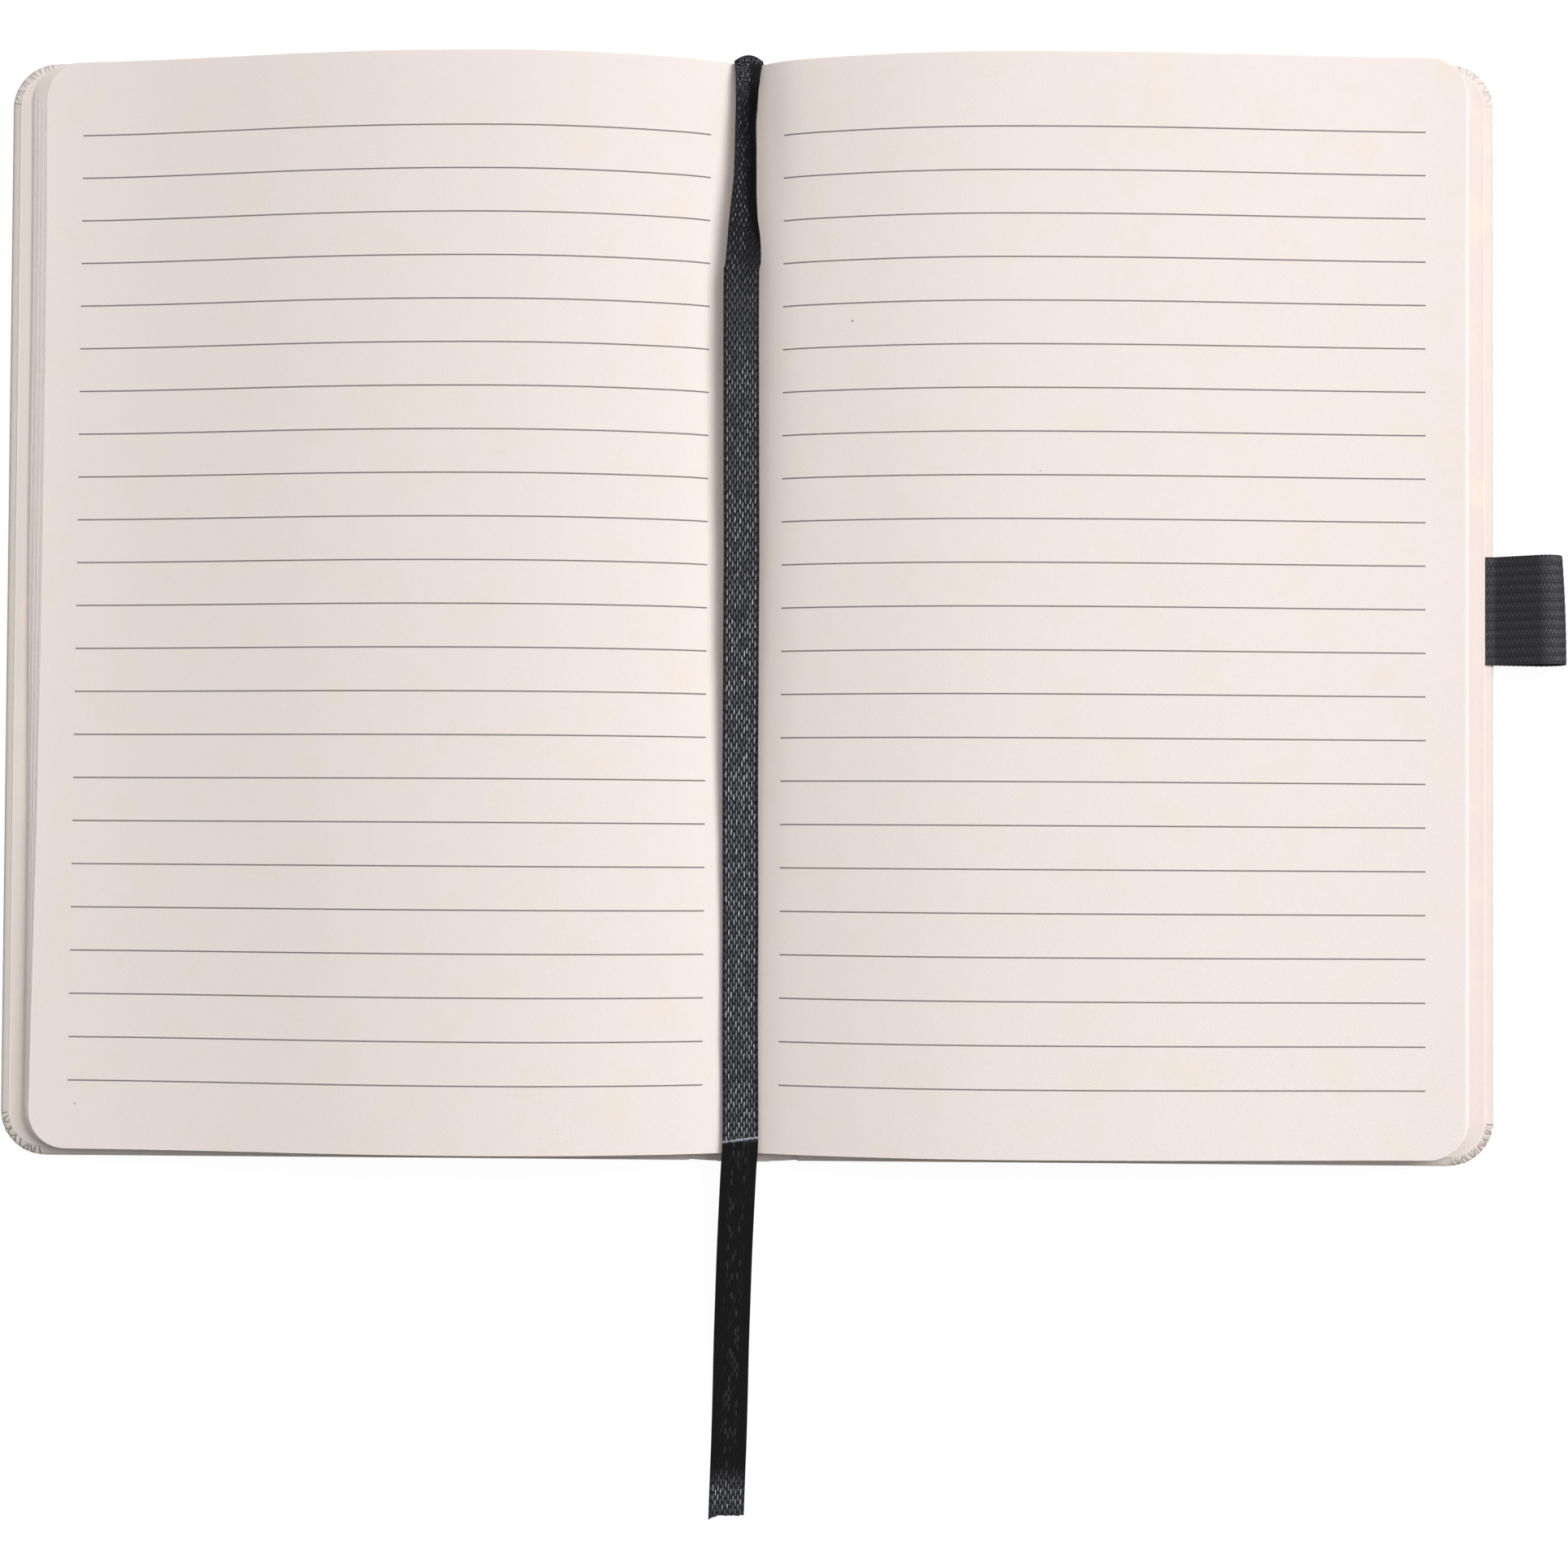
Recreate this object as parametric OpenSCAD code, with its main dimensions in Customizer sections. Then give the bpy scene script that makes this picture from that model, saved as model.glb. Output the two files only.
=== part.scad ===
// Hardcover ruled notebook lying open on its back.
// A case of two covers joined by a spine carries one text block, opened near its middle, whose
// leaves arch up from the gutter and fan out at the fore-edge. A ribbon marker lies down the
// gutter and an elastic pen loop stands out from the back cover.
// Millimetres. The origin is the middle of the spine's underside, +X towards the right-hand page,
// +Y towards the head and +Z up.

/* [Case] */
// Height of the covers, from head to foot
cover_h = 208.2; // [180:0.1:260]
// Reach of each cover from the middle of the spine
cover_w = 141; // [130:0.5:180]
// Corner radius of the covers
cover_r = 8.5; // [5:0.5:14]
// Thickness of the boards
board_t = 2; // [1.8:0.1:3]
// Thickness of the covering cloth
cloth_t = 0.35; // [0.25:0.05:0.5]
// Width of the card strip in the spine
spine_w = 9; // [8:0.5:14]
// Thickness of the card strip in the spine
spine_t = 0.8; // [0.4:0.1:1]
// Width of each bending joint, between the spine strip and a board
joint_w = 6; // [5:0.5:9]
// Width of cloth turned in over the boards
turn_in = 15; // [12:1:22]
// Margin of turned-in cloth that shows round the pasted-down paper
margin = 1.7; // [1:0.1:4]

/* [Corner pleats] */
// Number of pleats at each rounded corner
pleat_count = 9; // [5:1:10]
// Rise of a pleat above the turned-in cloth
pleat_rise = 0.2; // [0.1:0.05:0.3]
// Share of a pleat's pitch that stands up
pleat_fill = 0.7; // [0.5:0.05:0.8]

/* [Text block] */
// Height of the leaves, from head to foot
leaf_h = 206; // [178:0.1:256]
// How far the covers stand past the leaves at the head
square_head = 0.5; // [0.2:0.1:4]
// How much narrower a leaf is than a cover's reach, measured along the paper
square_fore = 5; // [4:0.5:9]
// Corner radius of the leaves
leaf_r = 7; // [4:0.5:12]
// Place of the gutter, from the middle of the spine
gutter_x = 0.2; // [-1.5:0.1:1.5]
// Height of the leaves at the bottom of the gutter
gutter_z = 3.6; // [3:0.1:4.5]
// Gatherings of leaves to the left of the gutter
front_count = 3; // [2:1:6]
// Gatherings of leaves to the right of the gutter
back_count = 10; // [6:1:12]
// Thickness of one gathering, pressed flat
gathering_t = 0.48; // [0.4:0.02:0.6]
// Height of the arch of the left-hand leaves
front_peak_z = 13.3; // [11:0.1:16]
// Height of the arch of the right-hand leaves
back_peak_z = 12.4; // [11:0.1:16]
// Distance of each arch from the gutter
peak_d = 49; // [35:1:65]
// How much further the lowest left-hand leaf has crept out
front_creep = 1.4; // [0:0.1:2]
// How far every second gathering is set back at head and foot
gathering_set = 0.12; // [0.05:0.01:0.2]
// Thickness of the endpapers
paper_t = 0.15; // [0.1:0.01:0.2]
// Thickness of the cloth and glue on the back of the text block
lining_t = 0.3; // [0.2:0.05:0.5]
// Width of the back of the text block
block_back_w = 8; // [6:0.5:9]

/* [Pen loop] */
// Width of the elastic
loop_w = 20.4; // [12:0.2:30]
// Thickness of the elastic, over its ribs
loop_t = 0.5; // [0.4:0.05:0.7]
// Radius of the loop's round end, outside
loop_r = 3.8; // [3.4:0.1:6]
// Reach of the loop beyond the edge of the cover
loop_reach = 13.1; // [12:0.1:20]
// Middle of the loop, from the middle of the leaves' height
loop_y = -0.35; // [-60:0.05:60]
// Length of elastic held under the pasted-down paper
loop_tab = 12; // [8:1:13]
// Number of ribs in the elastic
rib_count = 12; // [6:1:14]
// Height of a rib
rib_rise = 0.07; // [0.04:0.01:0.1]
// Share of a rib's pitch that stands up
rib_fill = 0.55; // [0.4:0.05:0.7]

/* [Ribbon marker] */
// Width of the ribbon
ribbon_w = 6.7; // [5:0.1:7]
// Thickness of the ribbon
ribbon_t = 0.3; // [0.2:0.05:0.35]
// Width of the ribbon where it is folded up at the head
ribbon_fold_w = 4; // [3:0.1:5]

/* [Clearances] */
// Hollow between the spine strip and the back of the text block
hollow = 0.3; // [0.25:0.05:0.5]
// Air between a cover and the leaf that lies on it
lie_gap = 0.2; // [0.15:0.05:0.3]
// Half of the slit in the cloth at each joint's bend
bend_gap = 0.3; // [0.25:0.05:0.4]
// Air round the elastic and round a pleat
fit_gap = 0.05; // [0.03:0.01:0.1]

/* [Hidden] */
$fn = 48;

// How far a cutting shape runs past the faces that it cuts
past = 1;

front = -1;
back = 1;

// Levels, from the table up
board_z = cloth_t;
turn_z = board_z + board_t;
paste_z = turn_z + cloth_t;
fly_z = paste_z + paper_t + lie_gap;
leaf_z = fly_z + paper_t;
strip_top = cloth_t + spine_t;
back_z = strip_top + hollow + lining_t;

// Width of a leaf, and the middle of the case's height seen from the middle of the leaves
leaf_w = cover_w - square_fore;
case_y = leaf_h / 2 + square_head - cover_h / 2;

// Distances from the middle of the spine
joint_x = (spine_w + joint_w) / 2;
board_in = spine_w / 2 + joint_w;
board_out = cover_w - cloth_t;
paste_out = cover_w - margin;

// The leaves climb from the back of the block to their level over the boards
climb_in = block_back_w / 2;
climb_out = board_in - lie_gap;

// Places along a leaf, from the gutter out, with the ends of the climb among them
near_steps = 4;
leaf_steps = 18;
overrun = 1.02;
rise_power = 0.8;
fall_power = 1.15;
function spread(a, b, steps) = [for (i = [0:steps - 1]) a + (b - a) * i / steps];
function places(side) =
    let (climb_start = climb_in - side * gutter_x, climb_end = climb_out - side * gutter_x)
    concat(
        spread(0, climb_start, near_steps),
        spread(climb_start, climb_end, near_steps),
        spread(climb_end, leaf_w * overrun, leaf_steps),
        [leaf_w * overrun]);

function peak_of(side) = side == front ? front_peak_z : back_peak_z;
function count_of(side) = side == front ? front_count : back_count;
function creep_of(side) = side == front ? front_creep : 0;

// Underside of the leaves at a distance from the middle of the spine
function base_z(x) = lookup(abs(x), [[climb_in, back_z], [climb_out, leaf_z]]);

// Top leaf at a distance from the gutter
function rise(d, peak) = gutter_z + (peak - gutter_z) * pow(sin(90 * d / peak_d), rise_power);
function fall_share(d) = pow(min(1, (d - peak_d) / (leaf_w - peak_d)), fall_power);
function fall(d, peak, fore) = fore + (peak - fore) * (1 + cos(180 * fall_share(d))) / 2;
function top_z(d, side) = d < peak_d
    ? rise(d, peak_of(side))
    : fall(d, peak_of(side), leaf_z + count_of(side) * gathering_t);

// One leaf as pairs of distance and height: level 0 is the lowest leaf and 1 the top one
function leaf_curve(side, level) = [for (d = places(side))
    let (low = base_z(gutter_x + side * d))
    [d, low + level * (top_z(d, side) - low)]];
function total(list, i = 0) = i < len(list) ? list[i] + total(list, i + 1) : 0;

// What the arch takes from a leaf's reach, and the reach that is left
function taken(curve) = total([for (i = [1:len(curve) - 1])
    norm(curve[i] - curve[i - 1]) - (curve[i][0] - curve[i - 1][0])]);
function reach(side, level) =
    leaf_w - taken(leaf_curve(side, level)) + creep_of(side) * (1 - level);
function cut_curve(curve, start, end) = concat(
    [[start, lookup(start, curve)]],
    [for (p = curve) if (p[0] > start && p[0] < end) p],
    [[end, lookup(end, curve)]]);
function reversed(list) = [for (i = [len(list) - 1:-1:0]) list[i]];
function lowered(list, drop) = [for (p = list) [p[0], p[1] - drop]];

// Panel from x0 to x1 with round corners at x1
module round_panel(x0, x1, h, r) {
    translate([x0, -h / 2])
        square([x1 - x0 - r, h]);
    translate([x1 - r - fit_gap, -h / 2 + r])
        square([r + fit_gap, h - 2 * r]);
    for (end = [-1, 1])
        translate([x1 - r, end * (h / 2 - r)])
            circle(r);
}

// Draws on the right, or mirrored on the left
module on_side(side) {
    mirror([side == front ? 1 : 0, 0, 0])
        children();
}

// Slab in the outline of a panel
module slab(x0, x1, h, r, z0, z1) {
    translate([0, 0, z0])
        linear_extrude(z1 - z0)
            round_panel(x0, x1, h, r);
}

// Square-cornered slab, centred on the middle of the cover's height
module plate(x0, x1, h, z0, z1) {
    translate([x0, -h / 2, z0])
        cube([x1 - x0, h, z1 - z0]);
}

// Moves a part of the case to where it lies under the leaves
module in_case() {
    translate([0, case_y, 0])
        children();
}

// Outline in X and Z, drawn out along Y over a height h
module along_y(h) {
    rotate([90, 0, 0])
        translate([0, 0, -h / 2])
            linear_extrude(h)
                children();
}

// Cloth of the spine, with its turned-in ends
hat_out = spine_w / 2 + cloth_t;
module spine_cloth() {
    color("#e0d6cb")
        in_case()
            difference() {
                union() {
                    plate(-joint_x + bend_gap, joint_x - bend_gap, cover_h, 0, cloth_t);
                    for (end = [-1, 1])
                        translate([0, end * (cover_h - turn_in) / 2, 0]) {
                            plate(-joint_x + bend_gap, joint_x - bend_gap, turn_in, 0, 2 * cloth_t);
                            plate(-hat_out, hat_out, turn_in, 0, strip_top + cloth_t);
                        }
                }
                strip_body();
            }
}

module strip_body() {
    plate(-spine_w / 2, spine_w / 2, cover_h - 2 * cloth_t, cloth_t, strip_top);
}

module spine_strip() {
    color("#8a7a66")
        in_case()
            strip_body();
}

// Cloth and glue that hold the leaves together along their backs
module spine_lining() {
    color("#cfc8bb")
        in_case()
            plate(-climb_in + fit_gap, climb_in - fit_gap, cover_h - 2 * turn_in - lie_gap,
                strip_top + hollow, back_z);
}

// One gathering: the space between two leaves, cut to its own reach. It is sunk a little into the
// gathering below it and into the other side at the gutter, so that the block is one body.
sunk = 0.1;
module gathering(side, i) {
    level = (i + 1) / count_of(side);
    end = reach(side, level);
    lower = cut_curve(leaf_curve(side, max(0, i - sunk) / count_of(side)), -sunk, end);
    upper = cut_curve(leaf_curve(side, level), -sunk, end);
    set_back = i % 2 == 0 ? 0 : gathering_set;
    translate([gutter_x, 0, 0])
        on_side(side)
            intersection() {
                along_y(leaf_h - 2 * set_back)
                    polygon(concat(lower, reversed(upper)));
                slab(-past, end, leaf_h - 2 * set_back, leaf_r, 0, peak_of(side) + past);
            }
}

module text_block() {
    color("#efe7df")
        union() {
            for (i = [0:front_count - 1])
                gathering(front, i);
            for (i = [0:back_count - 1])
                gathering(back, i);
        }
}

// Lowest leaf of a side, which belongs to the endpaper pasted to the cover
module flyleaf(side) {
    end = reach(side, 0);
    start = climb_in - side * gutter_x;
    curve = cut_curve(leaf_curve(side, 0), start, end);
    translate([gutter_x, 0, 0])
        on_side(side)
            intersection() {
                along_y(leaf_h)
                    polygon(concat(lowered(curve, paper_t), reversed(curve)));
                slab(0, end, leaf_h, leaf_r, 0, leaf_z + past);
            }
}

module front_flyleaf() {
    color("#e6dcd0")
        flyleaf(front);
}

module back_flyleaf() {
    color("#e6dcd0")
        flyleaf(back);
}

// Board of a cover, drawn on the right
module board_body() {
    slab(board_in, board_out, cover_h - 2 * cloth_t, cover_r - cloth_t, board_z, turn_z);
}

// Area of the board that the turned-in cloth leaves bare
bare_x1 = cover_w - turn_in;
bare_h = cover_h - 2 * turn_in;

// Radial folds of the cloth round both outer corners
pleat_step = 90 / pleat_count;
pleat_half = (cover_r - margin / 2) * pleat_step * pleat_fill * PI / 360;
pleat_r = (pow(pleat_half, 2) + pow(pleat_rise, 2)) / (2 * pleat_rise);
module pleats() {
    intersection() {
        for (end = [-1, 1])
            translate([cover_w - cover_r, end * (cover_h / 2 - cover_r), paste_z + pleat_rise - pleat_r])
                for (i = [0:pleat_count - 1])
                    rotate([0, 0, end * (i + 0.5) * pleat_step])
                        translate([cover_r - margin + fit_gap, 0, 0])
                            rotate([0, 90, 0])
                                cylinder(r = pleat_r, h = margin - 2 * fit_gap);
        slab(board_in, cover_w, cover_h, cover_r, turn_z, paste_z + 2 * pleat_rise);
    }
}

// Cloth of a cover, wrapped over the board's edges and down into the joint
module cover_cloth_body() {
    difference() {
        union() {
            slab(joint_x + bend_gap, cover_w, cover_h, cover_r, 0, cloth_t);
            plate(joint_x + bend_gap, board_in, cover_h, 0, 2 * cloth_t);
            slab(board_in - cloth_t, cover_w, cover_h, cover_r, 0, paste_z);
            pleats();
        }
        board_body();
        plate(joint_x, bare_x1, bare_h, cloth_t, paste_z + past);
    }
}

// Paper pasted over the board and the turned-in cloth
module pastedown_body() {
    difference() {
        union() {
            slab(board_in, paste_out, cover_h - 2 * margin, cover_r - margin, paste_z,
                paste_z + paper_t);
            plate(board_in, bare_x1, bare_h, turn_z, paste_z + paper_t);
        }
        plate(board_in - past, bare_x1 - paper_t, bare_h - 2 * paper_t, turn_z + paper_t,
            paste_z + paper_t + past);
    }
}

module front_cloth() {
    color("#e0d6cb")
        in_case()
            on_side(front)
                cover_cloth_body();
}

module front_board() {
    color("#8f7d66")
        in_case()
            on_side(front)
                board_body();
}

module front_pastedown() {
    color("#e6dcd0")
        in_case()
            on_side(front)
                pastedown_body();
}

// Bed pressed into the back cover for the ends of the elastic
tab_x0 = paste_out - loop_tab;
tab_top = paste_z - fit_gap;
tab_low = tab_top - 2 * loop_t;
module loop_bed() {
    translate([0, loop_y, 0])
        plate(tab_x0 - fit_gap, cover_w + past, loop_w + 2 * fit_gap, tab_low - fit_gap,
            paste_z + past);
}

module back_cloth() {
    color("#e0d6cb")
        difference() {
            in_case()
                cover_cloth_body();
            loop_bed();
        }
}

module back_board() {
    color("#8f7d66")
        difference() {
            in_case()
                board_body();
            loop_bed();
        }
}

module back_pastedown() {
    color("#e6dcd0")
        in_case()
            pastedown_body();
}

// Outline of the elastic: two layers that part at the cover's edge and meet round the end
loop_exit = cover_w + fit_gap;
loop_split = loop_exit + 2 * loop_t;
loop_mid = tab_top - loop_t;
loop_c = [cover_w + loop_reach - loop_r, loop_r + fit_gap];
function touch(p, r, turn) =
    let (v = p - loop_c, a = atan2(v[1], v[0]) + turn * acos(r / norm(v)))
    loop_c + r * [cos(a), sin(a)];
module drop(top, low, r) {
    translate(loop_c)
        circle(r);
    polygon([low, touch(low, r, 1), loop_c, touch(top, r, -1), top]);
}

module loop_outline(thin) {
    difference() {
        union() {
            drop([loop_exit, tab_top - thin], [loop_exit, tab_low + thin], loop_r - thin);
            translate([tab_x0, tab_low + thin])
                square([loop_exit - tab_x0 + fit_gap, 2 * (loop_t - thin)]);
        }
        drop([loop_split, loop_mid], [loop_split, loop_mid], loop_r - loop_t);
    }
}

rib_pitch = loop_w / rib_count;
module pen_loop() {
    color("#1d1c1f")
        translate([0, loop_y, 0]) {
            along_y(loop_w)
                loop_outline(rib_rise);
            for (i = [0:rib_count - 1])
                translate([0, (i + 0.5) * rib_pitch - loop_w / 2, 0])
                    along_y(rib_pitch * rib_fill)
                        loop_outline(0);
        }
}

// Middle line of the ribbon, from the head of the block to its free end, with its width there
unfolding_w = (ribbon_fold_w + ribbon_w) / 2;
route = [
    [0, 103.5, 2, ribbon_fold_w],
    [0, 103.8, 2.8, ribbon_fold_w],
    [0, 104, 3.8, ribbon_fold_w],
    [0, 103.9, 4.8, ribbon_fold_w],
    [0, 103.2, 5.6, ribbon_fold_w],
    [0, 101.5, 6, ribbon_fold_w],
    [-0.1, 97, 6.4, ribbon_fold_w],
    [-0.4, 88, 7.1, ribbon_fold_w],
    [-0.8, 76, 7.7, unfolding_w],
    [-1.1, 64, 7.9, ribbon_w],
    [-1.1, 52, 7.8, ribbon_w],
    [-1, 38, 7.5, ribbon_w],
    [-0.9, 24, 7.2, ribbon_w],
    [-0.8, 10, 6.9, ribbon_w],
    [-0.8, -4, 6.7, ribbon_w],
    [-0.8, -18, 6.5, ribbon_w],
    [-0.8, -32, 6.4, ribbon_w],
    [-0.7, -46, 6.3, ribbon_w],
    [-0.6, -60, 6.2, ribbon_w],
    [-0.6, -74, 6.1, ribbon_w],
    [-0.5, -86, 6.1, ribbon_w],
    [-0.4, -95, 6.2, ribbon_w],
    [-0.4, -101, 6.3, ribbon_w],
    [-0.7, -106, 6, ribbon_w],
    [-1, -112, 5.3, ribbon_w],
    [-1.4, -121, 4.2, ribbon_w],
    [-1.7, -130, 3.2, ribbon_w],
    [-2, -140, 2, ribbon_w],
    [-2.2, -150, 1, ribbon_w],
    [-2.4, -158, 0.4, ribbon_w],
    [-2.6, -164, 0.2, ribbon_w],
    [-2.8, -171.6, 0.2, ribbon_w]
];
function point(i) = [route[i][0], route[i][1], route[i][2]];
function ahead(i) = point(min(i + 1, len(route) - 1)) - point(max(i - 1, 0));
function up(i) = let (v = cross(ahead(i), [-1, 0, 0])) v / norm(v);
ribbon_edge = 0.8;
function ring(i) =
    let (w = route[i][3] / 2, t = ribbon_t / 2, flat = w - ribbon_edge)
    [for (q = [[-w, 0], [-flat, -t], [0, -t], [flat, -t], [w, 0], [flat, t], [0, t], [-flat, t]])
        point(i) + [q[0], 0, 0] + q[1] * up(i)];
sides = 8;
last = (len(route) - 1) * sides;
module ribbon_marker() {
    color("#3f414c")
        polyhedron(
            points = [for (i = [0:len(route) - 1]) each ring(i)],
            faces = [
                for (k = [1:sides - 2]) [0, k, k + 1],
                for (i = [0:len(route) - 2], k = [0:sides - 1])
                    let (a = i * sides + k, b = i * sides + (k + 1) % sides)
                    each [[a, a + sides, b + sides], [a, b + sides, b]],
                for (k = [1:sides - 2]) [last, last + k + 1, last + k]
            ]);
}

spine_cloth();
spine_strip();
spine_lining();
text_block();
front_flyleaf();
back_flyleaf();
ribbon_marker();
front_cloth();
front_board();
front_pastedown();
back_cloth();
back_board();
back_pastedown();
pen_loop();
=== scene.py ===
import math
import random

import bmesh
import bpy
from mathutils import Euler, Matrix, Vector
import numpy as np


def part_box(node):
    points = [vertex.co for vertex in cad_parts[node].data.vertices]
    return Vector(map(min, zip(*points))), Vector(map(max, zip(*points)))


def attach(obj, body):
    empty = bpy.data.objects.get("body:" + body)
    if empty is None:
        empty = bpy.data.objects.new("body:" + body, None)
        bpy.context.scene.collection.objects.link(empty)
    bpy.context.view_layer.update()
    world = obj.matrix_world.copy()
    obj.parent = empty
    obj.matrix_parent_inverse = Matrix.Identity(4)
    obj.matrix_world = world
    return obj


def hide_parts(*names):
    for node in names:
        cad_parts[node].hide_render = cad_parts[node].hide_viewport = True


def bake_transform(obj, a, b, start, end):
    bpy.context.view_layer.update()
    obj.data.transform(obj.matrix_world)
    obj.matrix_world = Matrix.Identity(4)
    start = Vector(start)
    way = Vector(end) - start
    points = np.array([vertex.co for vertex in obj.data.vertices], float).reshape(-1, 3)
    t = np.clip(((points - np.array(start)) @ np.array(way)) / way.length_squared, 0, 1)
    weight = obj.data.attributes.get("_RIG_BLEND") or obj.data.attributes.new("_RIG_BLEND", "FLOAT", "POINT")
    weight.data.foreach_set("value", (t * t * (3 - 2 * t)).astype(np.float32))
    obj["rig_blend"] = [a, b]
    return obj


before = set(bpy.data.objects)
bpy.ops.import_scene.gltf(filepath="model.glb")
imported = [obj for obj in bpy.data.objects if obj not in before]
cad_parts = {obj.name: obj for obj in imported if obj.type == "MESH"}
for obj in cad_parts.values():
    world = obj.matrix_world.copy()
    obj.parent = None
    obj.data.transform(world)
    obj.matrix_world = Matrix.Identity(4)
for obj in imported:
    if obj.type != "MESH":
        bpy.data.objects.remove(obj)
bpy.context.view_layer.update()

# Pieces are modelled in millimetres, in the frame's own axes, and come out in metres.
millimetre = 0.001
hair = 0.01  # less than any detail
left, right = -1, 1
print("frame loaded,", len(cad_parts), "nodes")


def millimetres(node):
    return [[axis / millimetre for axis in corner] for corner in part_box(node)]


def between(a, b, share):
    return a + (b - a) * share


def eased(share):
    share = min(1.0, max(0.0, share))
    return share * share * (3 - 2 * share)


def keyed(value, keys):  # straight lines through pairs of place and amount
    for (x0, y0), (x1, y1) in zip(keys, keys[1:]):
        if value <= x1:
            return between(y0, y1, min(1.0, max(0.0, (value - x0) / (x1 - x0))))
    return keys[-1][1]


# Camera, lamps and floor

cameraSet = {
    "place": (16.61, -45.2, 500.0),  # fitted to the ruled lines
    "turn": (1.3382, 1.0598, 0.3393),
    "sensor": 36.0,
    "viewWidth": 298.0,  # what the lens takes in at the camera's distance
    "nearest": 10.0,
}
lampSet = {
    "key": {"place": (1140.0, 570.0, 1406.0), "size": (1150.0, 1150.0), "power": 26.4},
    # gloss cards, which only shiny threads show
    "overCard": {"place": (-28.0, -35.0, 750.0), "size": (220.0, 400.0), "power": 28.0},
    "sideCard": {"place": (720.0, 180.0, 495.0), "size": (500.0, 500.0), "power": 30.0},
    "fillFrom": (0.0, 550.0, 1000.0),
    "fillAngle": 60.0,
    "fillStrength": 1.12,
    "sky": 0.12,
    "glossSky": 0.1,
}
floorSet = {"size": 6000.0, "drop": 0.05, "glow": 0.95, "albedo": 0.08, "bounce": 0.5}


def makeCamera(s):
    lens = bpy.data.cameras.new("camera")
    lens.sensor_width = s["sensor"]
    lens.lens = s["sensor"] * s["place"][2] / s["viewWidth"]
    lens.clip_start = s["nearest"] * millimetre
    camera = bpy.data.objects.new("camera", lens)
    bpy.context.collection.objects.link(camera)
    camera.location = [axis * millimetre for axis in s["place"]]
    camera.rotation_euler = Euler([math.radians(angle) for angle in s["turn"]], "XYZ")
    bpy.context.scene.camera = camera


def makeLamp(name, kind, place, power):
    light = bpy.data.lights.new(name, kind)
    light.energy = power
    lamp = bpy.data.objects.new(name, light)
    bpy.context.collection.objects.link(lamp)
    lamp.location = [axis * millimetre for axis in place]
    lamp.rotation_euler = (-Vector(place)).to_track_quat("-Z", "Y").to_euler()
    return lamp


def makeSoftbox(name, s, glossOnly=False):
    lamp = makeLamp(name, "AREA", s["place"], s["power"])
    lamp.data.shape = "RECTANGLE"
    lamp.data.size, lamp.data.size_y = [side * millimetre for side in s["size"]]
    lamp.visible_diffuse = not glossOnly


def makeLamps(s):
    makeSoftbox("keyLamp", s["key"])
    for name in ("overCard", "sideCard"):
        makeSoftbox(name, s[name], glossOnly=True)
    fill = makeLamp("fillLamp", "SUN", s["fillFrom"], s["fillStrength"])
    fill.data.angle = math.radians(s["fillAngle"])


makeCamera(cameraSet)
makeLamps(lampSet)
bpy.context.scene.view_settings.view_transform = "Standard"
print("camera and lamps made")


# Finishes: a wire is one value in a material, and sums on wires add its nodes

class Wire:
    def __init__(self, finish, socket):
        self.finish = finish
        self.socket = socket

    def maths(self, operation, *others):
        return self.finish.node("Math", {"operation": operation}, [self, *others])

    def __add__(self, other):
        return self.maths("ADD", other)

    def __sub__(self, other):
        return self.maths("SUBTRACT", other)

    def __rsub__(self, other):
        return self.finish.node("Math", {"operation": "SUBTRACT"}, [other, self])

    def __mul__(self, other):
        return self.maths("MULTIPLY", other)

    def __truediv__(self, other):
        return self.maths("DIVIDE", other)

    def __pow__(self, other):
        return self.maths("POWER", other)

    __radd__ = __add__
    __rmul__ = __mul__

    def size(self):
        return self.maths("ABSOLUTE")

    def larger(self, other):
        return self.maths("MAXIMUM", other)

    def smaller(self, other):
        return self.maths("MINIMUM", other)

    def wave(self, length):  # 0 to 1 and back over the length
        return self.maths("MULTIPLY", math.tau / length).maths("COSINE") * -0.5 + 0.5

    def ramp(self, low, high):  # 0 below low, 1 above high
        values = {"Value": self, "From Min": low, "From Max": high}
        return self.finish.node("MapRange", {"interpolation_type": "SMOOTHSTEP"}, values)

    def fall(self, low, high):  # 1 below low, 0 above high
        return 1 - self.ramp(low, high)

    def near(self, place, edge):  # 1 close to the place, 0 past the edge's end
        return (self - place).size().fall(*edge)

    def spread(self, low, high=1.0):  # 0 to 1 turned into low to high
        return self * (high - low) + low

    def part(self, name):
        return self.finish.node("SeparateXYZ", {}, {"Vector": self}, name)

    def flat(self):  # x and y in millimetres
        return self.part("X") / millimetre, self.part("Y") / millimetre

    def stretched(self, *scale):
        return self.finish.node("Mapping", {}, {"Vector": self, "Scale": scale})


class Nodes:
    def __init__(self, tree):
        self.tree = tree

    def link(self, socket, value):
        if isinstance(value, Wire):
            self.tree.links.new(value.socket, socket)
        elif socket.type == "RGBA" and len(value) == 3:
            socket.default_value = (*value, 1.0)
        else:
            socket.default_value = value

    def node(self, kind, settings, values, output=0):
        made = self.tree.nodes.new("ShaderNode" + kind)
        for name, value in settings.items():
            setattr(made, name, value)
        named = values.items() if isinstance(values, dict) else enumerate(values)
        for name, value in named:
            self.link(made.inputs[name], value)
        return Wire(self, made.outputs[output])


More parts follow.
